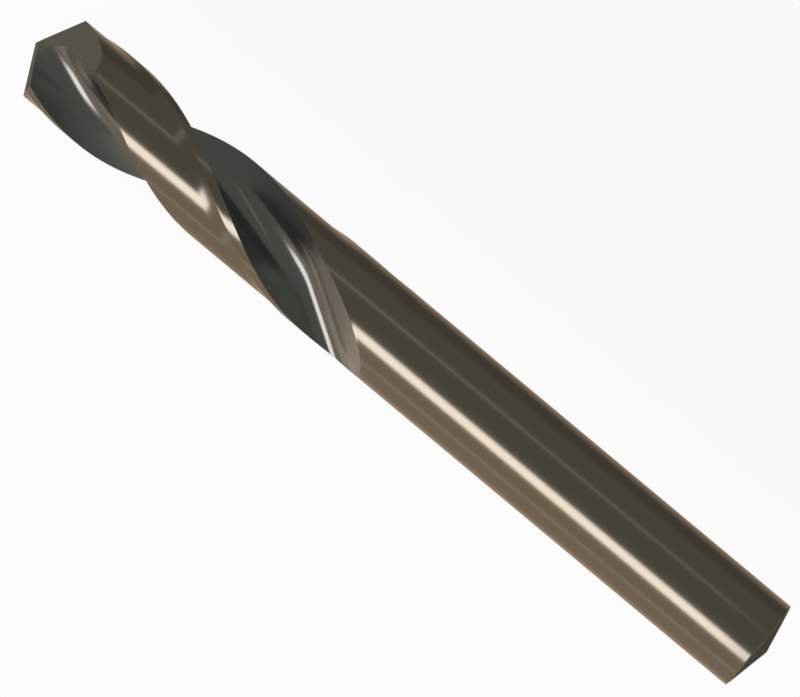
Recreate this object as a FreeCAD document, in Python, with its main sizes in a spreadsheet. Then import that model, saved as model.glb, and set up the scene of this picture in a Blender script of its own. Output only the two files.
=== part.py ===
import FreeCAD, Part
import Sketcher
import math
import os

# Stub twist drill, ground from one round bar: two right-hand flutes, a split point and a plain shank.
# The axis is X. The point looks toward -X and the shank runs to +X.
# Lengths are millimetres and angles are degrees.
SIZES = [
    ("drill_diameter", 8.5),  # across the margins at the point
    ("back_taper", 0.03),  # diameter lost from the point to the end of the flutes, and the shank's too
    ("overall_length", 79.0),  # from the chisel edge to the tip of the coned shank end
    ("flute_length", 38.3),  # from the chisel edge to where the flutes leave the bar
    ("helix_angle", 28.5),  # of the margins, measured from the axis
    ("point_angle", 130.0),  # between the two lips
    ("lip_relief", 12.0),  # fall of each flank behind its lip
    ("first_lip_turn", -58.9),  # angle of the first margin at the chisel edge
    ("web_thickness", 1.83),  # steel left between the flute bottoms
    ("flute_bottom_radius", 2.15),  # hollow where the two flute walls meet
    ("flute_turn", -45.4),  # middle of a flute, from the margin behind it
    ("flute_opening", 90.2),  # angle between the margin corner and the heel ahead of it
    ("hook_radius", 8.1),  # hollow of the wall under the lip
    ("run_out_length", 8.7),  # where the grinding wheel leaves the bar
    ("wheel_angle", 33.2),  # set of the wheel across the axis
    ("wheel_radius", 160.0),  # of the wheel that grinds the flutes
    ("land_clearance", 0.19),  # depth ground off the lands behind the margins
    ("margin_width", 0.84),  # of the narrow strips left at full diameter
    ("clearance_fade", 3.0),  # length over which the cleared land comes back to full size
    ("notch_slope", 54.5),  # rise of the split notch from the square plane
    ("notch_turn", 72.0),  # direction in which the notch of the first lip rises
    ("notch_start", 0.2),  # half of the chisel edge that the notches leave
    ("notch_wall", 0.25),  # from the notch's own centre plane to its side wall
    ("shank_end_angle", 157.0),  # included angle of the shallow cone on the shank
]

# Every cut runs a little past the steel that it removes
FLUTE_LEAD_IN = 1.5  # mm in front of the chisel edge
FLUTE_REACH = 1.8  # outer limit of a flute section, in drill radii
RUN_OUT_PASS = 1.08  # the wheel's last section, in run-out lengths
CLEARANCE_REACH = 0.4  # mm outside the margins
CLEARANCE_PASS = 4.0  # degrees beyond the heel
FADE_PASS = 1.3  # rise of the cleared land at the end of its fade, in land clearances
RAMP_RISE = 0.5  # rise of the ramp's top, as a share of the land's own

# How finely the twisted cuts are divided
HELIX_STEP = 25.0  # most turn between two sections, in degrees
RUN_OUT_STEPS = 4
FADE_STEPS = 2

doc = FreeCAD.newDocument("twist_drill")
sheet = doc.addObject("Spreadsheet::Sheet", "Sizes")
for row, (alias, value) in enumerate(SIZES, start=1):
    sheet.set("A%d" % row, alias)
    sheet.set("B%d" % row, str(value))
    sheet.setAlias("B%d" % row, alias)
doc.recompute()
size = {alias: float(sheet.get(alias)) for alias, _ in SIZES}

body = doc.addObject("PartDesign::Body", "Drill")
body.Label = "drill_bit"

radius = size["drill_diameter"] / 2
shank_radius = (size["drill_diameter"] - size["back_taper"]) / 2
end_cone = shank_radius / math.tan(math.radians(size["shank_end_angle"] / 2))
lead = math.pi * size["drill_diameter"] / math.tan(math.radians(size["helix_angle"]))
run_out_start = size["flute_length"] - size["run_out_length"]
helix_steps = math.ceil((run_out_start + FLUTE_LEAD_IN) / lead * 360 / HELIX_STEP)

# The same quantities as expressions
RADIUS = "(Sizes.drill_diameter / 2)"
SHANK_RADIUS = "((Sizes.drill_diameter - Sizes.back_taper) / 2)"
END_CONE = "(%s / tan(Sizes.shank_end_angle * 0.5 deg))" % SHANK_RADIUS
POINT_LENGTH = "(%s / tan(Sizes.point_angle * 0.5 deg))" % RADIUS
LEAD = "(pi * Sizes.drill_diameter / tan(Sizes.helix_angle * 1 deg))"
RUN_OUT_START = "(Sizes.flute_length - Sizes.run_out_length)"


def origin_plane(role):
    return next(feature for feature in body.Origin.OriginFeatures if feature.Role == role)


def new_sketch(name, role):
    sketch = body.newObject("Sketcher::SketchObject", name)
    sketch.AttachmentSupport = [(origin_plane(role), "")]
    sketch.MapMode = "FlatFace"
    return sketch


def polar(distance, angle):
    turn = math.radians(angle)
    return FreeCAD.Vector(distance * math.cos(turn), distance * math.sin(turn), 0)


# Adds a dimension and ties it to the named sizes
def bind(sketch, constraint, value, expression):
    index = sketch.addConstraint(Sketcher.Constraint(*constraint, value))
    sketch.setExpression("Constraints[%d]" % index, expression)


# Ties a point of a section to its distance and angle from the axis
def fix_polar(sketch, geometry, end, place, distance, angle):
    bind(sketch, ("DistanceX", -1, 1, geometry, end), place.x, "%s * cos(%s)" % (distance, angle))
    bind(sketch, ("DistanceY", -1, 1, geometry, end), place.y, "%s * sin(%s)" % (distance, angle))


# Closed outline of straight lines, each starting where the one before it ends
def draw_outline(sketch, corners):
    count = len(corners)
    for start, end in zip(corners, corners[1:] + corners[:1]):
        sketch.addGeometry(Part.LineSegment(start, end))
    for line in range(count):
        sketch.addConstraint(Sketcher.Constraint("Coincident", line, 2, (line + 1) % count, 1))


# The margin turns evenly with the distance from the chisel edge
def section_angle(station):
    return "(Sizes.first_lip_turn + 360 * (%s) / %s)" % (station, LEAD)


# Stands a section square to the axis, turned about it and shifted in its own plane
def place_section(sketch, station, angle, across="0", up="0"):
    sketch.AttachmentOffset = FreeCAD.Placement(
        FreeCAD.Vector(0, 0, 0), FreeCAD.Rotation(FreeCAD.Vector(0, 0, 1), 1)
    )
    sketch.setExpression("AttachmentOffset.Base.x", across)
    sketch.setExpression("AttachmentOffset.Base.y", up)
    sketch.setExpression("AttachmentOffset.Base.z", station)
    sketch.setExpression("AttachmentOffset.Rotation.Angle", angle)


# Turns a profile that contains the axis, about the axis
def turn_about_axis(sketch, angle):
    sketch.AttachmentOffset = FreeCAD.Placement(
        FreeCAD.Vector(0, 0, 0), FreeCAD.Rotation(FreeCAD.Vector(1, 0, 0), 1)
    )
    sketch.setExpression("AttachmentOffset.Rotation.Angle", angle)


# Blank: a pointed bar that tapers very slightly as far as the flutes reach, then the plain
# shank with a shallow cone on its end
def make_blank():
    point_length = radius / math.tan(math.radians(size["point_angle"] / 2))
    overall = size["overall_length"]
    corners = [
        FreeCAD.Vector(0, 0, 0),
        FreeCAD.Vector(point_length, radius, 0),
        FreeCAD.Vector(size["flute_length"], shank_radius, 0),
        FreeCAD.Vector(overall - end_cone, shank_radius, 0),
        FreeCAD.Vector(overall, 0, 0),
    ]
    sketch = new_sketch("blank_profile", "XY_Plane")
    draw_outline(sketch, corners)
    sketch.addConstraint(Sketcher.Constraint("Coincident", 0, 1, -1, 1))
    sketch.addConstraint(Sketcher.Constraint("Horizontal", 4))
    sketch.addConstraint(Sketcher.Constraint("Horizontal", 2))
    bind(sketch, ("DistanceX", -1, 1, 3, 2), overall, "Sizes.overall_length")
    bind(sketch, ("DistanceY", -1, 1, 0, 2), radius, RADIUS)
    bind(sketch, ("DistanceX", -1, 1, 0, 2), point_length, POINT_LENGTH)
    bind(sketch, ("DistanceX", -1, 1, 1, 2), size["flute_length"], "Sizes.flute_length")
    bind(sketch, ("DistanceY", -1, 1, 1, 2), shank_radius, SHANK_RADIUS)
    bind(sketch, ("DistanceX", 2, 2, 3, 2), end_cone, END_CONE)
    blank = body.newObject("PartDesign::Revolution", "blank")
    blank.Profile = sketch
    blank.ReferenceAxis = (sketch, ["H_Axis"])
    blank.Angle = 360
    doc.recompute()
    return blank


# Direction of the first lip, seen from the point: it runs half a web ahead of the axis
WEB_LEAN = "asin(Sizes.web_thickness / Sizes.drill_diameter)"
LIP_DIRECTION = "(%s + %s / 1 deg)" % (section_angle(POINT_LENGTH), WEB_LEAN)


# Flank: a flat that contains the lip and falls away behind it
def make_flank():
    depth = size["drill_diameter"]
    fall = depth * math.tan(math.radians(size["lip_relief"]))
    corners = [
        FreeCAD.Vector(-fall, -depth, 0),
        FreeCAD.Vector(fall, depth, 0),
        FreeCAD.Vector(-depth, depth, 0),
        FreeCAD.Vector(-depth, -depth, 0),
    ]
    fall_text = "Sizes.drill_diameter * tan(Sizes.lip_relief * 1 deg)"
    sketch = new_sketch("flank_profile", "XY_Plane")
    turn_about_axis(sketch, LIP_DIRECTION + " + 90")
    draw_outline(sketch, corners)
    sketch.addConstraint(Sketcher.Constraint("Horizontal", 1))
    sketch.addConstraint(Sketcher.Constraint("Vertical", 2))
    sketch.addConstraint(Sketcher.Constraint("Horizontal", 3))
    bind(sketch, ("DistanceX", 0, 1, -1, 1), fall, fall_text)
    bind(sketch, ("DistanceY", 0, 1, -1, 1), depth, "Sizes.drill_diameter")
    bind(sketch, ("DistanceX", -1, 1, 0, 2), fall, fall_text)
    bind(sketch, ("DistanceY", -1, 1, 0, 2), depth, "Sizes.drill_diameter")
    bind(sketch, ("DistanceX", 2, 2, -1, 1), depth, "Sizes.drill_diameter")
    doc.recompute()
    flank = body.newObject("PartDesign::Pocket", "flank")
    flank.Profile = sketch
    flank.Midplane = True
    flank.setExpression("Length", "Sizes.drill_diameter * 3")  # clear of the bar on both sides
    # The cut follows the lip, which leaves the square plane by the cotangent of half the point angle
    flank.UseCustomVector = True
    flank.AlongSketchNormal = False
    slope = 1 / math.tan(math.radians(size["point_angle"] / 2))
    lip = sketch.Placement.Rotation.multVec(FreeCAD.Vector(0, 0, -1))
    flank.Direction = FreeCAD.Vector(slope, lip.y, lip.z)
    flank.setExpression("Direction.x", "1 / tan(Sizes.point_angle * 0.5 deg)")
    flank.setExpression("Direction.y", "cos(%s * 1 deg)" % LIP_DIRECTION)
    flank.setExpression("Direction.z", "sin(%s * 1 deg)" % LIP_DIRECTION)
    doc.recompute()
    return flank


# Notch: the split that thins the web and takes the heel off the flank behind the lip
def make_notch():
    start = size["notch_start"]
    outside = size["drill_diameter"]
    rise = (outside - start) * math.tan(math.radians(size["notch_slope"]))
    corners = [
        FreeCAD.Vector(0, start, 0),
        FreeCAD.Vector(rise, outside, 0),
        FreeCAD.Vector(-outside, outside, 0),
        FreeCAD.Vector(-outside, start, 0),
    ]
    sketch = new_sketch("notch_profile", "XY_Plane")
    turn_about_axis(sketch, "Sizes.notch_turn")
    draw_outline(sketch, corners)
    sketch.addConstraint(Sketcher.Constraint("Horizontal", 1))
    sketch.addConstraint(Sketcher.Constraint("Vertical", 2))
    sketch.addConstraint(Sketcher.Constraint("Horizontal", 3))
    sketch.addConstraint(Sketcher.Constraint("PointOnObject", 0, 1, -2))
    bind(sketch, ("DistanceY", -1, 1, 0, 1), start, "Sizes.notch_start")
    bind(sketch, ("DistanceY", -1, 1, 0, 2), outside, "Sizes.drill_diameter")
    rise_text = "(Sizes.drill_diameter - Sizes.notch_start) * tan(Sizes.notch_slope * 1 deg)"
    bind(sketch, ("DistanceX", -1, 1, 0, 2), rise, rise_text)
    bind(sketch, ("DistanceX", 2, 2, -1, 1), outside, "Sizes.drill_diameter")
    doc.recompute()
    notch = body.newObject("PartDesign::Pocket", "notch")
    notch.Profile = sketch
    notch.SideType = "Two sides"
    notch.Type = "Length"
    notch.Type2 = "Length"
    notch.setExpression("Length", "Sizes.drill_diameter")
    notch.setExpression("Length2", "Sizes.notch_wall")
    doc.recompute()
    return notch


# Centres and joints of a flute section whose margin corner lies on the section's own X axis
def flute_shape():
    small = size["flute_bottom_radius"]
    hook = size["hook_radius"]
    bottom = polar(size["web_thickness"] / 2 + small, size["flute_turn"])
    corner = FreeCAD.Vector(radius, 0, 0)
    # the hollow under the lip passes through the corner and touches the flute bottom from inside
    span = corner.sub(bottom)
    reach = hook - small
    along = (reach * reach - hook * hook + span.Length ** 2) / (2 * span.Length)
    beside = math.sqrt(max(reach * reach - along * along, 0))
    unit = FreeCAD.Vector(span).normalize()
    centre = bottom.add(unit * along).add(FreeCAD.Vector(unit.y, -unit.x, 0) * beside)
    touch = centre.add(bottom.sub(centre).normalize() * hook)
    # the heel wall is the straight line from the heel corner that touches the flute bottom
    heel = polar(radius, -size["flute_opening"])
    back = heel.sub(bottom)
    lean = math.degrees(math.acos(small / back.Length))
    facing = math.degrees(math.atan2(back.y, back.x))
    foot = bottom.add(polar(small, facing - lean))
    return bottom, corner, centre, touch, heel, foot


# Crossing of a circle with one about the axis, the nearer of the two to a given point
def circle_crossing(centre, distance, limit, near):
    gap = centre.Length
    along = (limit * limit - distance * distance + gap * gap) / (2 * gap)
    beside = math.sqrt(limit * limit - along * along)
    unit = FreeCAD.Vector(centre).normalize()
    normal = FreeCAD.Vector(-unit.y, unit.x, 0)
    places = [unit * along + normal * beside, unit * along - normal * beside]
    return min(places, key=lambda place: place.sub(near).Length)


# Where the line from one point through another meets a circle about the axis
def line_crossing(start, through, limit):
    way = through.sub(start).normalize()
    middle = start.dot(way)
    return start + way * (-middle + math.sqrt(middle * middle - start.dot(start) + limit * limit))


def arc_between(centre, distance, first, last):
    start = math.atan2(first.y - centre.y, first.x - centre.x)
    end = math.atan2(last.y - centre.y, last.x - centre.x)
    return Part.ArcOfCircle(Part.Circle(centre, FreeCAD.Vector(0, 0, 1), distance), start, end)


def make_flute_section(name, station, angle, across="0", up="0"):
    bottom, corner, centre, touch, heel, foot = flute_shape()
    limit = FLUTE_REACH * radius
    lip_end = circle_crossing(centre, size["hook_radius"], limit, corner)
    heel_end = line_crossing(foot, heel, limit)
    middle = FreeCAD.Vector(0, 0, 0)

    sketch = new_sketch(name, "YZ_Plane")
    place_section(sketch, station, angle, across, up)
    lip_wall = sketch.addGeometry(arc_between(centre, size["hook_radius"], lip_end, touch))
    hollow = sketch.addGeometry(arc_between(bottom, size["flute_bottom_radius"], touch, foot))
    heel_wall = sketch.addGeometry(Part.LineSegment(foot, heel_end))
    outside = sketch.addGeometry(arc_between(middle, limit, heel_end, lip_end))
    lip_mark = sketch.addGeometry(Part.Point(corner), True)
    heel_mark = sketch.addGeometry(Part.Point(heel), True)

    sketch.addConstraint(
        [
            Sketcher.Constraint("Tangent", lip_wall, 2, hollow, 1),
            Sketcher.Constraint("Tangent", hollow, 2, heel_wall, 1),
            Sketcher.Constraint("Coincident", heel_wall, 2, outside, 1),
            Sketcher.Constraint("Coincident", outside, 2, lip_wall, 1),
            Sketcher.Constraint("Coincident", outside, 3, -1, 1),
            Sketcher.Constraint("PointOnObject", lip_mark, 1, lip_wall),
            Sketcher.Constraint("PointOnObject", heel_mark, 1, heel_wall),
        ]
    )
    bind(sketch, ("Radius", lip_wall), size["hook_radius"], "Sizes.hook_radius")
    bind(sketch, ("Radius", hollow), size["flute_bottom_radius"], "Sizes.flute_bottom_radius")
    bind(sketch, ("Radius", outside), limit, "%s * %g" % (RADIUS, FLUTE_REACH))
    bottom_text = "(Sizes.web_thickness / 2 + Sizes.flute_bottom_radius)"
    fix_polar(sketch, hollow, 3, bottom, bottom_text, "Sizes.flute_turn * 1 deg")
    fix_polar(sketch, lip_mark, 1, corner, RADIUS, "0 deg")
    fix_polar(sketch, heel_mark, 1, heel, RADIUS, "-Sizes.flute_opening * 1 deg")
    return sketch


# Stations of a cut that follows the helix from in front of the point to the run-out
def helix_stations():
    span = "(%s + %g)" % (RUN_OUT_START, FLUTE_LEAD_IN)
    return [
        "(-%g + %s * %d / %d)" % (FLUTE_LEAD_IN, span, step, helix_steps) for step in range(helix_steps + 1)
    ]


# Flute: sections turned along the helix, then carried out of the bar on the wheel's own path.
# There they keep their turn, slide across by the wheel's angle and lift by its round rim.
def make_flute():
    sections = []
    for step, station in enumerate(helix_stations()):
        sections.append(make_flute_section("flute_section_%02d" % step, station, section_angle(station)))
    for step in range(1, RUN_OUT_STEPS + 1):
        gone = "(Sizes.run_out_length * %g)" % (step / RUN_OUT_STEPS * RUN_OUT_PASS)
        aside = "(%s * tan(Sizes.wheel_angle * 1 deg))" % gone
        lift = "((%s / cos(Sizes.wheel_angle * 1 deg)) ^ 2 / 2 / Sizes.wheel_radius)" % gone
        middle = "(%s + Sizes.flute_turn)" % section_angle(RUN_OUT_START)
        across = "%s * cos(%s * 1 deg) - %s * sin(%s * 1 deg)" % (lift, middle, aside, middle)
        up = "%s * sin(%s * 1 deg) + %s * cos(%s * 1 deg)" % (lift, middle, aside, middle)
        station = "(%s + %s)" % (RUN_OUT_START, gone)
        name = "run_out_section_%02d" % step
        sections.append(make_flute_section(name, station, section_angle(RUN_OUT_START), across, up))
    doc.recompute()
    flute = body.newObject("PartDesign::SubtractiveLoft", "flute")
    flute.Profile = sections[0]
    flute.Sections = sections[1:]
    doc.recompute()
    return flute


# Section of the strip taken off behind one margin. A flat ramp leaves the margin and runs into
# the round of the cleared land, which goes on to just past the heel.
# raised lifts the strip toward the full size of the bar, and its ramp with it.
def make_clearance_section(name, station, raised, raised_text):
    outer = radius + CLEARANCE_REACH
    cleared = radius - size["land_clearance"] + raised
    crest = radius + raised * RAMP_RISE
    margin_end = math.degrees(size["margin_width"] / radius)
    past_heel = 180 - size["flute_opening"] + CLEARANCE_PASS
    top = polar(crest, margin_end)
    foot = polar(cleared, margin_end + math.degrees(math.acos(cleared / crest)))
    start = line_crossing(foot, top, outer)
    heel = polar(cleared, past_heel)
    heel_out = polar(outer, past_heel)
    middle = FreeCAD.Vector(0, 0, 0)

    sketch = new_sketch(name, "YZ_Plane")
    place_section(sketch, station, section_angle(station))
    ramp = sketch.addGeometry(Part.LineSegment(start, foot))
    land = sketch.addGeometry(arc_between(middle, cleared, foot, heel))
    side = sketch.addGeometry(Part.LineSegment(heel, heel_out))
    outside = sketch.addGeometry(arc_between(middle, outer, start, heel_out))
    top_mark = sketch.addGeometry(Part.Point(top), True)
    sketch.addConstraint(
        [
            Sketcher.Constraint("Tangent", ramp, 2, land, 1),
            Sketcher.Constraint("Coincident", land, 2, side, 1),
            Sketcher.Constraint("Coincident", side, 2, outside, 2),
            Sketcher.Constraint("Coincident", outside, 1, ramp, 1),
            Sketcher.Constraint("Coincident", land, 3, -1, 1),
            Sketcher.Constraint("Coincident", outside, 3, -1, 1),
            Sketcher.Constraint("PointOnObject", top_mark, 1, ramp),
            Sketcher.Constraint("PointOnObject", -1, 1, side),
        ]
    )
    margin_text = "Sizes.margin_width / %s * 1 rad" % RADIUS
    cleared_text = "(%s - Sizes.land_clearance + %s)" % (RADIUS, raised_text)
    heel_text = "(180 - Sizes.flute_opening + %g) * 1 deg" % CLEARANCE_PASS
    fix_polar(sketch, top_mark, 1, top, "(%s + %s * %g)" % (RADIUS, raised_text, RAMP_RISE), margin_text)
    bind(sketch, ("Radius", land), cleared, cleared_text)
    bind(sketch, ("Radius", outside), outer, "%s + %g" % (RADIUS, CLEARANCE_REACH))
    bind(sketch, ("DistanceX", -1, 1, land, 2), heel.x, "%s * cos(%s)" % (cleared_text, heel_text))
    return sketch


# Clearance: the lands behind the margins are ground below full size as far as the run-out
def make_clearance():
    step_height = size["land_clearance"]
    sections = []
    for step, station in enumerate(helix_stations()):
        sections.append(make_clearance_section("clearance_section_%02d" % step, station, 0, "0"))
    for step in range(1, FADE_STEPS + 1):
        share = step / FADE_STEPS
        station = "(%s + Sizes.clearance_fade * %g)" % (RUN_OUT_START, share)
        rise = share * FADE_PASS
        rise_text = "(Sizes.land_clearance * %g)" % rise
        name = "clearance_fade_%02d" % step
        sections.append(make_clearance_section(name, station, step_height * rise, rise_text))
    doc.recompute()
    clearance = body.newObject("PartDesign::SubtractiveLoft", "clearance")
    clearance.Profile = sections[0]
    clearance.Sections = sections[1:]
    doc.recompute()
    return clearance


blank = make_blank()
flank = make_flank()
notch = make_notch()
clearance = make_clearance()
flute = make_flute()

# Both lips are alike: every cut is repeated half a turn round the axis
pair = body.newObject("PartDesign::PolarPattern", "both_lips")
pair.Originals = [flank, notch, clearance, flute]
pair.Axis = (doc.getObject("blank_profile"), ["H_Axis"])
pair.Angle = 360
pair.Occurrences = 2
body.Tip = pair

# The part's own origin is where the cylindrical shank meets the cone on its end
body.setExpression("Placement.Base.x", "%s - Sizes.overall_length" % END_CONE)
doc.recompute()

for item in doc.Objects:
    if "Invalid" in item.State or "Error" in item.State:
        raise RuntimeError("%s: %s" % (item.Label, item.State))

shape = body.Shape
if shape.isNull() or not shape.isValid():
    raise RuntimeError("drill_bit has no valid shape")
if len(shape.Solids) != 1:
    raise RuntimeError("drill_bit is %d solids" % len(shape.Solids))

os.makedirs("parts", exist_ok=True)
shape.exportStep("parts/%s.step" % body.Label)
box = shape.BoundBox
print("drill_bit: volume %.1f mm3, box %.2f %.2f %.2f" % (shape.Volume, box.XLength, box.YLength, box.ZLength))
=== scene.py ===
import math

import bpy
import numpy as np
from mathutils import Matrix, Vector
from mathutils.geometry import delaunay_2d_cdt


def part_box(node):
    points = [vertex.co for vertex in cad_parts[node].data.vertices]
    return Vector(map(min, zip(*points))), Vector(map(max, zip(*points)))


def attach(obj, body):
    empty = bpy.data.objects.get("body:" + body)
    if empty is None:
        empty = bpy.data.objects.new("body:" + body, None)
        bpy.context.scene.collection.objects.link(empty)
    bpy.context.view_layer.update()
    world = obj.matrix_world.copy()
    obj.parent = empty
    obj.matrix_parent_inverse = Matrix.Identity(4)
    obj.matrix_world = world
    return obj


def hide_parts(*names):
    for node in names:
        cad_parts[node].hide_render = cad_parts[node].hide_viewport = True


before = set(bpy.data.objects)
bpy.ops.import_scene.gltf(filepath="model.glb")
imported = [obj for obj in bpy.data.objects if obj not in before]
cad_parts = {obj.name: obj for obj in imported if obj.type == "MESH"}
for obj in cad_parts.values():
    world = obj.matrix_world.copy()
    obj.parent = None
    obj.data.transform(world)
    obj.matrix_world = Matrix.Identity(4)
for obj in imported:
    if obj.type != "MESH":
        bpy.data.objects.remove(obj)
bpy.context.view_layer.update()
print("frame loaded:", sorted(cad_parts))

# The drill lies along X with its point at the low end. Lengths are in metres and angles in
# degrees, unless a note says otherwise.
boxLow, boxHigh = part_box("drill_bit")
tipX = boxLow.x
shankX = boxHigh.x
drill = {
    "radius": 0.00425,  # at the point
    "shankRadius": 0.004235,
    "helixAngle": 28.5,
    "firstLipTurn": -58.9,  # where the first margin stands at the chisel edge
    "fluteEnd": 0.0383,  # from the chisel edge
    "runOutLength": 0.0087,
    "runOutBend": 0.0008,  # the wheel's turn from the helix to its straight path
    "wheelAngle": 33.2,
    "wheelRadius": 0.160,
    "webThickness": 0.00183,
    "hollowRadius": 0.00215,
    "fluteTurn": -45.4,
    "fluteOpening": 90.2,
    "hookRadius": 0.0081,
    "bodyRadius": 0.00406,
    "marginWidth": 0.00084,
    "rampSoftness": 0.25,  # turn over which the margin bends into its ramp
    "rampRise": 0.3,  # slope with which the ramp meets the margin
    "clearanceFade": 0.0030,
    "pointAngle": 130.0,
    "lipRelief": 12.0,
    "notchSlope": 54.5,
    "notchTurn": 72.0,
    "notchStart": 0.0002,
    "notchWall": 0.00025,
    "notchFillet": 0.00030,  # height over which the notch's face rounds into its side wall
    "wallSlope": 89.0,
    "shankEndAngle": 157.0,
    "edgeBreak": 0.000016,  # tiny flat that keeps each ground edge crisp
    "shankBevel": 0.00010,
}
# how many rows and rings the mesh has, and how they are spread
grid = {
    "lipRows": 22,
    "hollowRows": 26,
    "heelRows": 16,
    "fluteEase": 0.35,  # how far the rows gather at both ends of a part
    "landRows": 36,
    "rampRows": 16,
    "marginRows": 9,
    "landEase": 0.3,
    "leastTurn": 0.6,  # least turn of the margin, and of its ramp
    "pinchedTurn": 0.4,  # the same for a margin that the heel comes close to
    "heelTurn": 1.5,  # least turn of the plain land beside the heel
    "ridgeTurn": 0.2,  # from the edge between margin and ramp to the rows beside it
    "closedTurn": 0.8,  # least half turn kept for the flute's rows where it has closed
    "searchSteps": 1600,
    "lipReach": 0.10,  # radians by which the section's lip arc is carried on outside the bar
    "heelReach": 2.2,  # length of the heel wall against its part inside the bar
    "pointSteps": 72,  # grid steps of the ground point, from the axis to the outside
    "pointGap": 0.4,  # share of a step that the grid keeps from the outline
    "tipEnd": 0.0076,  # from here on all columns share their stations
    "tipRings": 34,
    "tipEase": 1.15,  # draws the rings towards the ground point
    "halvings": 26,
    "helixStep": 0.00020,
    "runOutStep": 0.00010,
    "overrun": 0.0008,  # the fine steps go on this far past the flutes
    "shankRings": 9,
    "bevelRings": 7,
    "coneRings": 12,
    "poleShare": 0.02,  # size of the cone's last ring against the shank
}
slots = {"land": 0, "flute": 1, "point": 2, "end": 3}  # the land's material covers the shank too

# Places in a section are complex numbers y + iz, and stations count from the chisel edge.
outerRadius = drill["radius"]
leadLength = 2 * math.pi * outerRadius / math.tan(math.radians(drill["helixAngle"]))
runOutStart = drill["fluteEnd"] - drill["runOutLength"]


def turned(angle):
    # the place one metre from the axis at an angle; multiplying by it turns a section
    return np.exp(1j * np.radians(angle))


def lipAngle(station):
    # the margin's angle grows evenly along the axis
    return drill["firstLipTurn"] + 360 * station / leadLength


def fluteCurve():
    # Flute section with the lip corner on the real axis: an arc under the lip, a smaller arc
    # at the web that it touches from outside, and a straight heel wall tangent to that.
    small, hook = drill["hollowRadius"], drill["hookRadius"]
    bottom = (drill["webThickness"] / 2 + small) * turned(drill["fluteTurn"])
    span = outerRadius - bottom
    along = ((hook - small) ** 2 - hook ** 2 + abs(span) ** 2) / (2 * abs(span))
    beside = math.sqrt((hook - small) ** 2 - along ** 2)
    centre = bottom + span / abs(span) * (along - 1j * beside)
    touch = centre + (bottom - centre) / abs(bottom - centre) * hook
    heel = outerRadius * turned(-drill["fluteOpening"])
    back = heel - bottom
    foot = bottom + small * np.exp(1j * (np.angle(back) - math.acos(small / abs(back))))
    return {"bottom": bottom, "centre": centre, "touch": touch, "heel": heel, "foot": foot}


curve = fluteCurve()


def alongFlute(share):
    # share 0..1 runs down the lip arc, 1..2 round the hollow and 2..3 up the heel wall,
    # and both walls carry on outside the bar
    share = np.asarray(share, float)
    hook, small = drill["hookRadius"], drill["hollowRadius"]
    lipFrom = np.angle(outerRadius - curve["centre"]) - grid["lipReach"]
    lipTo = np.angle(curve["touch"] - curve["centre"])
    lip = curve["centre"] + hook * np.exp(1j * (lipFrom + (lipTo - lipFrom) * np.clip(share, 0, 1)))
    start = np.angle(curve["touch"] - curve["bottom"])
    end = np.angle(curve["foot"] - curve["bottom"])
    end += 2 * math.pi * (end < start)
    hollow = curve["bottom"] + small * np.exp(1j * (start + (end - start) * np.clip(share - 1, 0, 1)))
    wall = curve["foot"] + (curve["heel"] - curve["foot"]) * grid["heelReach"] * np.clip(share - 2, 0, 1)
    return np.where(share < 1, lip, np.where(share < 2, hollow, wall))


def wheelPath(station):
    # Turn and shift of a section: it follows the helix as far as the run-out, and there
    # it keeps its turn and slides out on the wheel's straight line, lifting on the wheel's arc.
    bend = drill["runOutBend"]
    into = np.clip(station - runOutStart + bend, 0, None)
    gone = np.where(into < 2 * bend, into ** 2 / (4 * bend), into - bend)
    held = station - gone
    tangent = math.tan(math.radians(drill["wheelAngle"]))
    lift = gone ** 2 * (1 + tangent ** 2) / (2 * drill["wheelRadius"])
    outward = turned(lipAngle(held) + drill["fluteTurn"])
    return turned(lipAngle(held)), outward * (lift + 1j * gone * tangent)


def fullRadius(station):
    # the bar tapers very slightly as far as the flutes reach
    share = np.clip(station / drill["fluteEnd"], 0, 1)
    return outerRadius + (drill["shankRadius"] - outerRadius) * share


def clearedRadius(station):
    # the land behind the margin comes back to full size over the fade
    share = np.clip((station - runOutStart) / drill["clearanceFade"], 0, 1)
    share = share * share * (3 - 2 * share)
    return drill["bodyRadius"] + (fullRadius(station) - drill["bodyRadius"]) * share


def eased(count, ease):
    # even steps from 0 to 1, drawn towards both ends by ease
    share = np.linspace(0, 1, count)
    return (share - ease * np.sin(2 * math.pi * share) / (2 * math.pi))[None, :]


def joined(parts):
    # sets rows of several parts side by side, and the place where two parts meet once only
    return np.concatenate([part[:, :-1] for part in parts[:-1]] + parts[-1:], 1)


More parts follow.
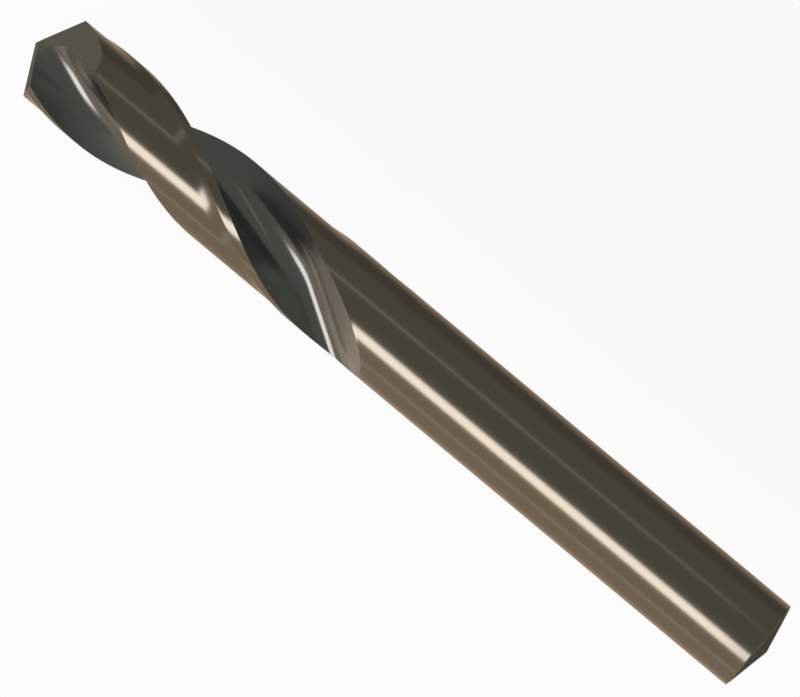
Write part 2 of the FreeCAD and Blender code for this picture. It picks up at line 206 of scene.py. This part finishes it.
def fluteRows(station):
    # Flute half of a ring: the part of the wheel's section that lies inside the bar,
    # found by a search along the section and shared out in fixed numbers of rows.
    turn, shift = wheelPath(station)
    search = np.linspace(0, 3, grid["searchSteps"])
    line = alongFlute(search)
    size = np.abs(line[None, :] * turn[:, None] + shift[:, None])
    full, cleared = fullRadius(station), clearedRadius(station)
    lipInside = size < full[:, None]
    heelInside = size < cleared[:, None]
    inBar = lipInside.any(1) & heelInside.any(1)
    rows = np.arange(len(station))
    steps = grid["searchSteps"]
    first = np.where(inBar, lipInside.argmax(1), 1).clip(1)
    last = np.where(inBar, steps - 1 - heelInside[:, ::-1].argmax(1), 1).clip(0, steps - 2)

    def crossing(before, limit):
        # the share at which the section crosses a radius, between one search step and the next
        low, high = size[rows, before], size[rows, before + 1]
        share = np.clip((limit - low) / np.where(high == low, 1, high - low), 0, 1)
        return search[before] + (search[before + 1] - search[before]) * share

    lipShare = crossing(first - 1, full)
    heelShare = crossing(last, cleared)
    joints = np.stack([lipShare, np.clip(np.maximum(lipShare, 1), None, heelShare),
                       np.clip(2, lipShare, heelShare), heelShare], 1)
    lengths = np.diff(joints, axis=1)
    counts = (grid["lipRows"], grid["hollowRows"], grid["heelRows"])
    share = joined([joints[:, part, None] + lengths[:, part, None] * eased(count, grid["fluteEase"])
                    for part, count in enumerate(counts)])
    # the rows beside the two corners stay within the broken edge
    tiny = np.minimum(drill["edgeBreak"] / drill["hookRadius"] * 2, (heelShare - lipShare) / 8)
    share[:, 1] = lipShare + tiny
    share[:, -2] = heelShare - tiny
    return alongFlute(share) * turn[:, None] + shift[:, None], share, inBar


def landRows(station, heelAngle, lipCorner):
    # Land half of a ring, from the heel round to the margin corner half a turn on from lipCorner.
    # Its radius is the cleared one, then a flat ramp that touches that round, then the full one
    # on the margin.
    full, cleared = fullRadius(station), clearedRadius(station)
    marginTurn = math.degrees(drill["marginWidth"] / outerRadius)
    rampTurn = marginTurn + np.degrees(np.arccos(np.minimum(cleared / full, 1)))
    corner = lipCorner - 180
    ideal = lipAngle(station) - 180
    ideal = ideal + 360 * np.round((corner - ideal) / 360)
    marginEnd = np.clip(ideal + marginTurn, corner + grid["leastTurn"], None)
    rampEnd = np.clip(ideal + rampTurn, marginEnd + grid["leastTurn"], None)
    rampEnd = np.minimum(rampEnd, heelAngle - grid["heelTurn"])
    marginEnd = np.minimum(marginEnd, rampEnd - grid["pinchedTurn"])
    spans = ((heelAngle, rampEnd, grid["landRows"]), (rampEnd, marginEnd, grid["rampRows"]),
             (marginEnd, corner, grid["marginRows"]))
    angle = joined([start[:, None] + (end - start)[:, None] * eased(count, grid["landEase"])
                    for start, end, count in spans])
    ridge = grid["landRows"] + grid["rampRows"] - 2
    angle[:, ridge - 1] = angle[:, ridge] + grid["ridgeTurn"]
    angle[:, ridge + 1] = angle[:, ridge] - grid["ridgeTurn"]
    tiny = math.degrees(drill["edgeBreak"] / outerRadius)
    angle[:, 1] = heelAngle - tiny
    angle[:, -2] = corner + tiny
    before = np.radians(np.clip((ideal + rampTurn)[:, None] - angle, 0, None))
    ramp = cleared[:, None] / np.cos(np.minimum(before, 1.2))  # radians, far past the margin
    # the smaller of ramp and margin, with the ridge between them rounded over a narrow band
    band = full[:, None] * math.radians(drill["rampSoftness"]) * drill["rampRise"]
    gap = np.clip(0.5 + (full[:, None] - ramp) / (2 * band), 0, 1)
    size = full[:, None] + (ramp - full[:, None]) * gap - band * gap * (1 - gap)
    across = 3 + 2 * (heelAngle[:, None] - angle) / (heelAngle - corner)[:, None]
    return (size * turned(angle))[:, 1:-1], across[:, 1:-1]


def ringRows(station):
    # One closed ring per station: flute, land, and the same two again half a turn on. The surface
    # coordinate that comes with it runs 0..3 over the flute and 3..5 over the land, then on by 5.
    flute, fluteAcross, inBar = fluteRows(station)
    lipCorner = np.degrees(np.unwrap(np.angle(flute[:, 0])))
    heelAngle = np.degrees(np.unwrap(np.angle(flute[:, -1])))
    heelAngle = lipCorner - np.mod(lipCorner - heelAngle, 360)
    # past the last open section the two corners stay where the flute closed
    if not inBar.all():
        lastOpen = np.flatnonzero(inBar).max()
        closed = np.arange(len(station)) > lastOpen
        middle = (lipCorner[lastOpen] + heelAngle[lastOpen]) / 2
        half = max((lipCorner[lastOpen] - heelAngle[lastOpen]) / 2, grid["closedTurn"])
        lipCorner = np.where(closed, middle + half, lipCorner)
        heelAngle = np.where(closed, middle - half, heelAngle)
        around = np.linspace(1, 0, flute.shape[1])[None, :]
        arc = turned(heelAngle[:, None] + (lipCorner - heelAngle)[:, None] * around)
        flute = np.where(closed[:, None], fullRadius(station)[:, None] * arc, flute)
        fluteAcross = np.where(closed[:, None], 3 * (1 - around), fluteAcross)
    land, landAcross = landRows(station, heelAngle, lipCorner)
    across = np.concatenate([fluteAcross, landAcross], 1)
    return {
        "places": np.concatenate([flute, land, -flute, -land], 1),
        "across": np.concatenate([across, across + 5], 1),
        "fluteCount": flute.shape[1],
    }


def pointHeight(place):
    # Distance from the chisel edge to the ground point, over the section plane: the highest of
    # two flats through the lips, the cone behind them and two steep notches with their side walls.
    lean = math.degrees(math.asin(drill["webThickness"] / 2 / outerRadius))
    rise = 1 / math.tan(math.radians(drill["pointAngle"] / 2))
    lip = turned(lipAngle(outerRadius * rise) + lean)
    notch = turned(drill["notchTurn"])
    fall = math.tan(math.radians(drill["lipRelief"]))
    steep = math.tan(math.radians(drill["notchSlope"]))
    wall = math.tan(math.radians(drill["wallSlope"]))
    height = np.abs(place) * rise
    for side in (1, -1):
        flank = side * place * np.conj(lip)
        groove = side * place * np.conj(notch)
        face = (groove.real - drill["notchStart"]) * steep
        rim = (drill["notchWall"] - groove.imag) * wall
        height = np.maximum(height, flank.real * rise + flank.imag * fall)
        # the lower of face and side wall, rounded by a parabola where they meet
        near = np.clip(1 - np.abs(face - rim) / drill["notchFillet"], 0, None)
        depth = np.minimum(face, rim) - drill["notchFillet"] / 4 * near ** 2
        height = np.maximum(height, depth)
    return height


def tipRings():
    # Rings between the ground point and tipEnd. The section is the same all along the helix, so
    # each column turns with it, and its first station is found on the ground point by halving.
    tip = ringRows(np.zeros(1))
    local = tip["places"][0] / turned(lipAngle(0.0))
    low = np.zeros(len(local))
    high = np.full(len(local), grid["tipEnd"])
    for _ in range(grid["halvings"]):
        middle = (low + high) / 2
        buried = middle < pointHeight(local * turned(lipAngle(middle)))
        low, high = np.where(buried, middle, low), np.where(buried, high, middle)
    share = np.linspace(0, 1, grid["tipRings"])[:, None] ** grid["tipEase"]
    stations = low + (grid["tipEnd"] - low) * share
    return stations, local * turned(lipAngle(stations)), np.repeat(tip["across"], len(stations), 0)


def bodyRings():
    # rings through the helix and the run-out; the first would repeat the last one of the tip
    bendStart = runOutStart - drill["runOutBend"]
    steps = int((bendStart - grid["tipEnd"]) / grid["helixStep"])
    helix = np.linspace(grid["tipEnd"], bendStart, steps, endpoint=False)
    runOut = np.arange(bendStart, drill["fluteEnd"] + grid["overrun"], grid["runOutStep"])
    stations = np.concatenate([helix, runOut])
    rings = ringRows(stations)
    return stations[1:], rings["places"][1:], rings["across"][1:], rings["fluteCount"]


def shankProfile(start):
    # Stations and radii from start on: the plain shank, its edge bevelled by a parabola, and the
    # shallow cone as far as its last small ring.
    radius, bevel = drill["shankRadius"], drill["shankBevel"]
    rise = 1 / math.tan(math.radians(drill["shankEndAngle"] / 2))
    overall = shankX - tipX
    coneStart = overall - radius * rise
    bend = np.linspace(0, 1, grid["bevelRings"])[1:]
    plain = np.linspace(start, coneStart - bevel, grid["shankRings"])[1:]
    cone = np.linspace(radius - bevel, grid["poleShare"] * radius, grid["coneRings"])[1:]
    stations = np.concatenate([plain, coneStart - bevel * (1 - bend) ** 2,
                               coneStart + (radius - cone) * rise])
    sizes = np.concatenate([np.full(len(plain), radius), radius - bevel * bend ** 2, cone])
    return np.minimum(stations, overall), sizes


def drillRings():
    # All rings from the ground point to the shank's end: places in the section, stations and the
    # surface coordinate across, and the slot of each face between two rings.
    tipStations, tipPlaces, tipAcross = tipRings()
    bodyStations, bodyPlaces, bodyAcross, fluteCount = bodyRings()
    shankStations, shankSizes = shankProfile(bodyStations[-1])
    last = bodyPlaces[-1:] / np.abs(bodyPlaces[-1:])
    columns = last.shape[1]
    later = np.repeat(np.concatenate([bodyStations, shankStations])[:, None], columns, 1)
    places = np.concatenate([tipPlaces, bodyPlaces, shankSizes[:, None] * last])
    inFlute = np.arange(columns) % (columns // 2) < fluteCount - 1
    fluteLimit = len(tipPlaces) + np.searchsorted(bodyStations, drill["fluteEnd"])
    faceSlots = np.full((len(places) - 1, columns), slots["land"])
    faceSlots[:fluteLimit, inFlute] = slots["flute"]
    faceSlots[1 - grid["coneRings"]:] = slots["end"]
    return {
        "places": places,
        "along": np.concatenate([tipStations, later]),
        "across": np.concatenate([tipAcross, bodyAcross, np.repeat(bodyAcross[-1:], len(shankSizes), 0)]),
        "slots": faceSlots,
    }


def meshPlaces(places, stations):
    # points in space: x from the station, y and z from the place in the section
    return np.stack([tipX + stations, places.real, places.imag], -1)


def quadFaces(rows, columns):
    # faces of a grid that closes round its columns
    low = np.arange(columns)
    high = np.roll(low, -1)
    base = np.arange(rows - 1)[:, None] * columns
    corners = [base + low, base + columns + low, base + columns + high, base + high]
    return np.stack(corners, -1).reshape(-1, 4)


def pointGrid(rim):
    # Triangles that fill the outline of the ground point in the section plane: an even grid of
    # places inside the outline, joined to it. Returns the inner places and the corners of each
    # triangle, counted through the outline first and the inner places after it.
    steps = grid["pointSteps"]
    axis = np.arange(-steps, steps + 1) * outerRadius / steps
    inner = (axis[None, :] + 1j * axis[:, None]).ravel()[:, None]
    start, end = rim[None, :], np.roll(rim, -1)[None, :]
    side = end - start
    # a place is inside where a line from it crosses the outline an odd number of times
    level = (inner.imag - start.imag) / np.where(side.imag == 0, 1, side.imag)
    beyond = inner.real < start.real + side.real * level
    crossed = ((start.imag > inner.imag) != (end.imag > inner.imag)) & beyond
    nearest = np.clip(((inner - start) * side.conj()).real / np.abs(side) ** 2, 0, 1)
    gap = np.abs(inner - start - nearest * side).min(1)
    inner = inner[(crossed.sum(1) % 2 == 1) & (gap > grid["pointGap"] * outerRadius / steps), 0]
    # joined in millimetres; output type 1 keeps only what lies inside the outline
    both = np.concatenate([rim, inner]) * 1000
    corners = list(map(Vector, np.stack([both.real, both.imag], -1).tolist()))
    made = delaunay_2d_cdt(corners, [], [list(range(len(rim)))], 1, 1e-6)
    triangles, sources = made[2], made[3]
    origin = np.array([source[0] for source in sources])
    return inner, origin[np.array(triangles)]


def cornerPlaces(rings, vertices, ends):
    # Surface coordinates of every face corner: millimetres along and the share across, and plain
    # y and z in millimetres on the two ends.
    alongAcross = np.stack([rings["along"] * 1000, rings["across"]], -1)
    closing = alongAcross[:, :1].copy()
    closing[..., 1] = 10.0  # the ring closes where the second half's land ends
    padded = np.concatenate([alongAcross, closing], 1)
    wall = np.stack([padded[:-1, :-1], padded[1:, :-1], padded[1:, 1:], padded[:-1, 1:]], 2)
    return np.concatenate([wall.reshape(-1, 2), vertices[ends.ravel(), 1:] * 1000])


def buildDrill():
    # One closed mesh: the rings, the ground point inside the rim of the first ring, and a fan from
    # the last ring to the pole of the shank's cone.
    rings = drillRings()
    rows, columns = rings["places"].shape
    wall = meshPlaces(rings["places"], rings["along"]).reshape(-1, 3)
    pointPlaces, pointFaces = pointGrid(rings["places"][0])
    point = meshPlaces(pointPlaces, pointHeight(pointPlaces))
    pointFaces = np.where(pointFaces < columns, pointFaces, pointFaces - columns + len(wall))[:, ::-1]
    vertices = np.concatenate([wall, point, [[shankX, 0, 0]]])
    lastRing = len(wall) - columns + np.arange(columns)
    fan = np.stack([np.roll(lastRing, -1), lastRing, np.full(columns, len(vertices) - 1)], -1)
    ends = np.concatenate([pointFaces, fan])
    faces = quadFaces(rows, columns).tolist() + ends.tolist()

    mesh = bpy.data.meshes.new("drillBit")
    mesh.from_pydata(vertices.tolist(), [], faces)
    corners = cornerPlaces(rings, vertices, ends)
    mesh.uv_layers.new(name="alongAcross").data.foreach_set("uv", corners.ravel().astype(np.float32))
    faceSlots = np.concatenate([rings["slots"].ravel(), np.full(len(pointFaces), slots["point"]),
                                np.full(columns, slots["end"])])
    mesh.polygons.foreach_set("material_index", faceSlots.astype(np.int32))
    # both ends are ground in flats
    mesh.polygons.foreach_set("use_smooth", (faceSlots == slots["land"]) | (faceSlots == slots["flute"]))
    mesh.update()
    mesh.validate()
    piece = bpy.data.objects.new("ground_drill", mesh)
    bpy.context.scene.collection.objects.link(piece)
    print("drill mesh:", len(vertices), "points,", len(faces), "faces")
    return piece


finish = {
    "land": {
        "colour": (0.178, 0.157, 0.120),
        "metallic": 1.0,
        "edge": (0.86, 0.78, 0.70),  # tint of the steel where it turns away from the eye
        "roughness": 0.19,
        "density": (9.0, 0.5, 0.0),  # scratches per millimetre along, and across
    },
    "flute": {
        "colour": (0.153, 0.156, 0.140),
        "metallic": 0.91,  # a dull oxide film covers the rest
        "edge": (1.0, 1.0, 1.0),
        "roughness": 0.18,
        "density": (0.15, 26.0, 0.0),
        "wallColour": (0.138, 0.158, 0.143),  # of the two walls beside the round flute bottom
        "wallRoughness": 0.42,
    },
    "point": {
        "colour": (0.170, 0.167, 0.128),
        "metallic": 0.67,
        "edge": (0.12, 0.12, 0.10),
        "roughness": 0.40,
        "density": (9.0, 0.8, 0.0),
    },
    "end": {
        "colour": (0.128, 0.114, 0.090),
        "metallic": 0.75,
        "edge": (0.20, 0.18, 0.16),
        "roughness": 0.40,
        "density": (9.0, 0.8, 0.0),
    },
    # the flute's bottom has its middle here in the surface coordinate, and fades into both walls
    "bottom": {"middle": 1.5, "span": (0.45, 0.85)},
    # The wheel leaves the heel wall frosted where it runs out of the bar, and less so near the point.
    # Along counts in millimetres from the chisel edge, and across in the flute's surface coordinate.
    "frost": {"colour": (0.200, 0.172, 0.138), "metallic": 0.40, "along": (27.5, 30.5),
              "across": (1.50, 1.80), "tipAlong": (4.6, 6.4), "tipShare": 0.7},
    # painted shade: the point's and the shank end's colour darkens where they turn away from the eye, between
    # these facing shares, down to this share
    "paintedGrazeShade": {"span": (0.74, 0.90), "least": 0.20},
    "lineDepth": 0.0000006,  # metres
    "lineGrey": 0.05,  # share of the roughness that the lines add or take
    "fineShare": 0.6,  # share of the finest lines in that, beside the broader ones
    "broadScale": 0.17,  # of the broader lines against the finest
    "toneShare": 0.05,  # share by which the colour drifts between warm and cool
    "toneScale": 260.0,  # size of the drift, as cells per metre
}


def feed(tree, socket, value):
    # an input takes a plain value or the output of another node
    if isinstance(value, bpy.types.NodeSocket):
        tree.links.new(value, socket)
    else:
        socket.default_value = value


def addNode(tree, kind, **values):
    # a new node with its inputs given by name, with _ for a space
    node = tree.nodes.new(kind)
    for name, value in values.items():
        feed(tree, node.inputs[name.replace("_", " ")], value)
    return node


def addGroup(tree, group, **values):
    # the same for a node group, which gives back its outputs
    node = tree.nodes.new("ShaderNodeGroup")
    node.node_tree = group
    for name, value in values.items():
        feed(tree, node.inputs[name], value)
    return node.outputs


def maths(tree, operation, *values, kind="ShaderNodeMath"):
    # the result of one calculation, on numbers or with the other kind on vectors
    node = tree.nodes.new(kind)
    node.operation = operation
    for socket, value in zip(node.inputs, values):
        feed(tree, socket, value)
    return node.outputs[0]


def blendColour(tree, share, first, second):
    # the first colour at share 0 and the second at 1
    node = tree.nodes.new("ShaderNodeMix")
    node.data_type = "RGBA"
    inputs = {socket.identifier: socket for socket in node.inputs}
    for name, value in (("Factor_Float", share), ("A_Color", first), ("B_Color", second)):
        feed(tree, inputs[name], value)
    return next(socket for socket in node.outputs if socket.identifier == "Result_Color")


def fade(tree, value, start, end):
    # 1 up to start, 0 from end on, and a smooth fall between
    node = addNode(tree, "ShaderNodeMapRange", Value=value, From_Min=start, From_Max=end,
                   To_Min=1.0, To_Max=0.0)
    node.interpolation_type = "SMOOTHSTEP"
    return node.outputs["Result"]


def newGroup(name, inputs, outputs):
    # an empty node group with the sockets that it takes in and puts out
    group = bpy.data.node_groups.new(name, "ShaderNodeTree")
    for way, sockets in (("INPUT", inputs), ("OUTPUT", outputs)):
        for label, kind in sockets.items():
            group.interface.new_socket(name=label, in_out=way, socket_type=kind)
    return group, group.nodes.new("NodeGroupInput").outputs, group.nodes.new("NodeGroupOutput").inputs


def grindLines():
    # fine parallel scratches: noise that is stretched along them, as a height and a mask
    group, given, out = newGroup(
        "grindLines",
        {"Vector": "NodeSocketVector", "Density": "NodeSocketVector"},
        {"Height": "NodeSocketFloat", "Mask": "NodeSocketFloat"},
    )
    stretched = maths(group, "MULTIPLY", given["Vector"], given["Density"], kind="ShaderNodeVectorMath")
    fine = addNode(group, "ShaderNodeTexNoise", Vector=stretched, Scale=1.0, Detail=3.0, Roughness=0.7)
    broad = addNode(group, "ShaderNodeTexNoise", Vector=stretched, Scale=finish["broadScale"], Detail=2.0)
    group.links.new(fine.outputs["Fac"], out["Height"])
    mask = maths(group, "ADD", maths(group, "MULTIPLY", fine.outputs["Fac"], finish["fineShare"]),
                 maths(group, "MULTIPLY", broad.outputs["Fac"], 1 - finish["fineShare"]))
    group.links.new(mask, out["Mask"])
    return group


def steelTone():
    # slow drift of a colour between a warmer and a cooler tone
    group, given, out = newGroup(
        "steelTone",
        {"Color": "NodeSocketColor", "Share": "NodeSocketFloat"},
        {"Color": "NodeSocketColor"},
    )
    place = group.nodes.new("ShaderNodeTexCoord").outputs["Object"]
    noise = addNode(group, "ShaderNodeTexNoise", Vector=place, Scale=finish["toneScale"], Detail=2.0)
    drift = maths(group, "SUBTRACT", noise.outputs["Fac"], 0.5)
    drift = maths(group, "MULTIPLY", drift, given["Share"])
    parts = addNode(group, "ShaderNodeSeparateColor", Color=given["Color"]).outputs
    warm = maths(group, "MULTIPLY", parts["Red"], maths(group, "ADD", 1.0, drift))
    cool = maths(group, "MULTIPLY", parts["Blue"], maths(group, "SUBTRACT", 1.0, drift))
    whole = addNode(group, "ShaderNodeCombineColor", Red=warm, Green=parts["Green"], Blue=cool)
    group.links.new(whole.outputs["Color"], out["Color"])
    return group


lineGroup, toneGroup = grindLines(), steelTone()


def fluteShares(tree, surface):
    # Shares of the round bottom and of the frosted part. The second half's surface coordinate is
    # the first one's again, 5 further on.
    place = addNode(tree, "ShaderNodeSeparateXYZ", Vector=surface).outputs
    across = maths(tree, "MODULO", place["Y"], 5.0)
    offMiddle = maths(tree, "ABSOLUTE", maths(tree, "SUBTRACT", across, finish["bottom"]["middle"]))
    bottom = fade(tree, offMiddle, *finish["bottom"]["span"])
    frost = finish["frost"]
    runOut = maths(tree, "SUBTRACT", 1.0, fade(tree, place["X"], *frost["along"]))
    tip = maths(tree, "MULTIPLY", fade(tree, place["X"], *frost["tipAlong"]), frost["tipShare"])
    heelWall = maths(tree, "SUBTRACT", 1.0, fade(tree, across, *frost["across"]))
    return bottom, maths(tree, "MULTIPLY", heelWall, maths(tree, "MAXIMUM", runOut, tip))


def groundMetal(name, colour, metallic, edge, roughness, density, wallColour=None, wallRoughness=None):
    # Ground steel with fine lines and a drifting tone. With a wall colour it is the flute's, with its own
    # tone on both walls and the frosted heel wall; without one, a dull metal with painted shade that darkens
    # its colour where it turns away from the eye.
    material = bpy.data.materials.new(name)
    material.use_nodes = True
    tree = material.node_tree
    shader = tree.nodes["Principled BSDF"]
    shader.inputs["Metallic"].default_value = metallic
    shader.inputs["Specular Tint"].default_value = (*edge, 1)
    surface = addNode(tree, "ShaderNodeUVMap").outputs["UV"]
    lines = addGroup(tree, lineGroup, Vector=surface, Density=density)
    tone = (*colour, 1)
    if wallColour:
        bottom, frosted = fluteShares(tree, surface)
        tone = blendColour(tree, bottom, (*wallColour, 1), tone)
        roughness = maths(tree, "MULTIPLY_ADD", bottom, roughness - wallRoughness, wallRoughness)
    shade = addGroup(tree, toneGroup, Color=tone, Share=2 * finish["toneShare"])["Color"]
    if wallColour:
        frost = finish["frost"]
        shade = blendColour(tree, frosted, shade, (*frost["colour"], 1))
        dull = maths(tree, "MULTIPLY_ADD", frosted, frost["metallic"] - metallic, metallic)
        tree.links.new(dull, shader.inputs["Metallic"])
    elif metallic < 1:
        # painted shade: the colour darkens towards grazing views
        paintedGrazeShade = finish["paintedGrazeShade"]
        facing = addNode(tree, "ShaderNodeLayerWeight", Blend=0.5).outputs["Facing"]
        paintedGrazeColour = (*(paintedGrazeShade["least"] * part for part in colour), 1)
        shade = blendColour(tree, fade(tree, facing, *paintedGrazeShade["span"]), paintedGrazeColour, shade)
    tree.links.new(shade, shader.inputs["Base Color"])
    drift = maths(tree, "MULTIPLY_ADD", lines["Mask"], 2 * finish["lineGrey"], 1 - finish["lineGrey"])
    tree.links.new(maths(tree, "MULTIPLY", drift, roughness), shader.inputs["Roughness"])
    bump = addNode(tree, "ShaderNodeBump", Height=lines["Height"], Distance=finish["lineDepth"], Strength=1.0)
    tree.links.new(bump.outputs["Normal"], shader.inputs["Normal"])
    return material


piece = buildDrill()
for name in slots:
    piece.data.materials.append(groundMetal(name + "Steel", **finish[name]))
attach(piece, "root")
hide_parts("drill_bit")
print("finishes ready:", ", ".join(slots))

studio = {
    "nearColour": (0.75, 0.75, 0.74),  # of the sheet on the key's side and under the drill
    "paintedShadeColour": (0.25, 0.25, 0.245),  # painted shade: the sheet's colour on the side away from the key
    "fall": (0.004, 0.014),  # where the painted shade sets in, from the drill's axis across the sheet
    "halfSize": 3.0,
    "cameraGlow": 0.93,  # share of the sheet that the camera sees as plain white
    "paintedGlowShare": 0.60,  # painted reflection: share of the sheet's key side that the steel mirrors as a glow
    "paintedGlowTint": (0.92, 0.74, 0.59),  # warm tone of that painted glow
    "roomColour": (0.83, 0.83, 0.81),  # lights the object at a plain level
    "steelRoom": (0.33, 0.33, 0.315),  # the darker room that shows in the steel
    "backdropRise": (0.0, 0.12),  # parts of a direction upwards between which the pale backdrop ends
    "backdropSide": (-0.8, 0.0),  # and the same along Y, from the key's side to the middle
    "distance": 1.5,  # of the lamps
}
# Soft boxes beside the drill. Angle counts from straight up towards -Y and along runs towards the
# shank. Their sizes are angles too: spread round the drill and reach along it.
lamps = {
    "keyBox": {"angle": 38.5, "spread": 20.0, "along": 0.0, "reach": 19.5,
               "glow": 5.2, "colour": (1.0, 0.97, 1.04)},
    "sideFill": {"angle": 73.5, "spread": 51.0, "along": 0.0, "reach": 70.0,
                 "glow": 0.44, "colour": (1.0, 0.74, 0.56)},
    "thinStrip": {"angle": -33.7, "spread": 6.0, "along": -8.0, "reach": 24.0,
                  "glow": 0.50, "colour": (1.0, 1.0, 1.0)},
}
# The photograph's width and its middle, counted along the drill from the chisel edge. Focal
# length and sensor are in millimetres.
lens = {"focal": 800.0, "sensor": 36.0, "width": 0.0664, "aimX": 0.03948, "aimY": -0.00012,
        "turn": 39.84, "clip": (0.01, 20)}


def softBox(name, angle, spread, along, reach, glow, colour):
    # glow is the brightness of the lamp's face as the steel mirrors it, where 1 is white
    light = bpy.data.lights.new(name, "AREA")
    light.shape = "RECTANGLE"
    light.size = 2 * studio["distance"] * math.tan(math.radians(reach / 2))
    light.size_y = 2 * studio["distance"] * math.tan(math.radians(spread / 2))
    light.energy = glow * math.pi * light.size * light.size_y
    light.color = colour
    lamp = bpy.data.objects.new(name, light)
    middle = Matrix.Translation(((tipX + shankX) / 2, 0, 0))
    turn = Matrix.Rotation(math.radians(angle), 4, "X") @ Matrix.Rotation(math.radians(along), 4, "Y")
    lamp.matrix_world = middle @ turn @ Matrix.Translation((0, 0, studio["distance"]))
    bpy.context.scene.collection.objects.link(lamp)


def mixShaders(tree, share, first, second):
    # the first shader at share 0 and the second at 1
    mix = tree.nodes.new("ShaderNodeMixShader")
    for socket, value in zip(mix.inputs, (share, first, second)):
        feed(tree, socket, value)
    return mix.outputs[0]


def mirrorRays(tree, path):
    # 1 for rays that the steel mirrors, or that pass through something clear
    return maths(tree, "MAXIMUM", path["Is Glossy Ray"], path["Is Transmission Ray"])


def axes(tree, kind):
    # X, Y and Z of a texture coordinate
    place = tree.nodes.new("ShaderNodeTexCoord").outputs[kind]
    return addNode(tree, "ShaderNodeSeparateXYZ", Vector=place).outputs


def makeFloor():
    # A pale sheet with painted shade: its colour darkens across the drill on the side away from the key. Over
    # it lie a share of plain white for the camera and a warm painted glow on the key's side that only the
    # steel mirrors.
    half = studio["halfSize"]
    corners = [(x * half, y * half, -outerRadius) for x, y in ((-1, -1), (1, -1), (1, 1), (-1, 1))]
    mesh = bpy.data.meshes.new("floor")
    mesh.from_pydata(corners, [], [(0, 1, 2, 3)])
    floor = bpy.data.objects.new("floor", mesh)
    bpy.context.scene.collection.objects.link(floor)
    material = bpy.data.materials.new("paleFloor")
    material.use_nodes = True
    tree = material.node_tree
    # painted shade: the sheet's colour falls from the key's side to the other side
    near = fade(tree, axes(tree, "Object")["Y"], *studio["fall"])
    colour = blendColour(tree, near, (*studio["paintedShadeColour"], 1), (*studio["nearColour"], 1))
    shader = tree.nodes["Principled BSDF"]
    tree.links.new(colour, shader.inputs["Base Color"])
    shader.inputs["Roughness"].default_value = 0.9
    shader.inputs["Specular IOR Level"].default_value = 0.1
    path = tree.nodes.new("ShaderNodeLightPath").outputs
    # painted reflection: on the key's side the steel mirrors a warm glow in place of the lit sheet
    paintedGlow = maths(tree, "MULTIPLY", mirrorRays(tree, path), near)
    paintedGlow = maths(tree, "MULTIPLY", paintedGlow, studio["paintedGlowShare"])
    share = maths(tree, "MULTIPLY_ADD", path["Is Camera Ray"], studio["cameraGlow"], paintedGlow)
    # the emission is plain white for the camera and the warm painted glow for what the steel mirrors
    tint = blendColour(tree, path["Is Camera Ray"], (*studio["paintedGlowTint"], 1), (1, 1, 1, 1))
    white = addNode(tree, "ShaderNodeEmission", Color=tint, Strength=1.0)
    blend = mixShaders(tree, share, shader.outputs[0], white.outputs[0])
    tree.links.new(blend, tree.nodes["Material Output"].inputs["Surface"])
    mesh.materials.append(material)


def makeRoom():
    # White to the camera, and pale to dull surfaces. The steel shows a grey room with a pale
    # backdrop low down on the key's side.
    world = bpy.data.worlds.new("studio")
    world.use_nodes = True
    tree = world.node_tree
    room = tree.nodes["Background"].outputs[0]
    tree.nodes["Background"].inputs["Color"].default_value = (*studio["roomColour"], 1)
    white = addNode(tree, "ShaderNodeBackground", Color=(1, 1, 1, 1), Strength=1.0).outputs[0]
    grey = addNode(tree, "ShaderNodeBackground", Color=(*studio["steelRoom"], 1), Strength=1.0).outputs[0]
    way = axes(tree, "Generated")
    backdrop = maths(tree, "MULTIPLY", fade(tree, way["Z"], *studio["backdropRise"]),
                     fade(tree, way["Y"], *studio["backdropSide"]))
    path = tree.nodes.new("ShaderNodeLightPath").outputs
    blend = mixShaders(tree, mirrorRays(tree, path), room, mixShaders(tree, backdrop, grey, white))
    blend = mixShaders(tree, path["Is Camera Ray"], blend, white)
    tree.links.new(blend, tree.nodes["World Output"].inputs["Surface"])
    bpy.context.scene.world = world


def makeCamera():
    # straight above the drill, turned so that it runs from top left to bottom right
    camera = bpy.data.cameras.new("camera")
    camera.lens = lens["focal"]
    camera.sensor_width = lens["sensor"]
    camera.clip_start, camera.clip_end = lens["clip"]
    distance = lens["width"] * lens["focal"] / lens["sensor"]
    holder = bpy.data.objects.new("camera", camera)
    holder.matrix_world = (Matrix.Translation((tipX + lens["aimX"], lens["aimY"], distance))
                           @ Matrix.Rotation(math.radians(lens["turn"]), 4, "Z"))
    bpy.context.scene.collection.objects.link(holder)
    bpy.context.scene.camera = holder


makeFloor()
makeRoom()
for name, lamp in lamps.items():
    softBox(name, **lamp)
makeCamera()
bpy.context.scene.view_settings.view_transform = "Standard"
print("studio ready")
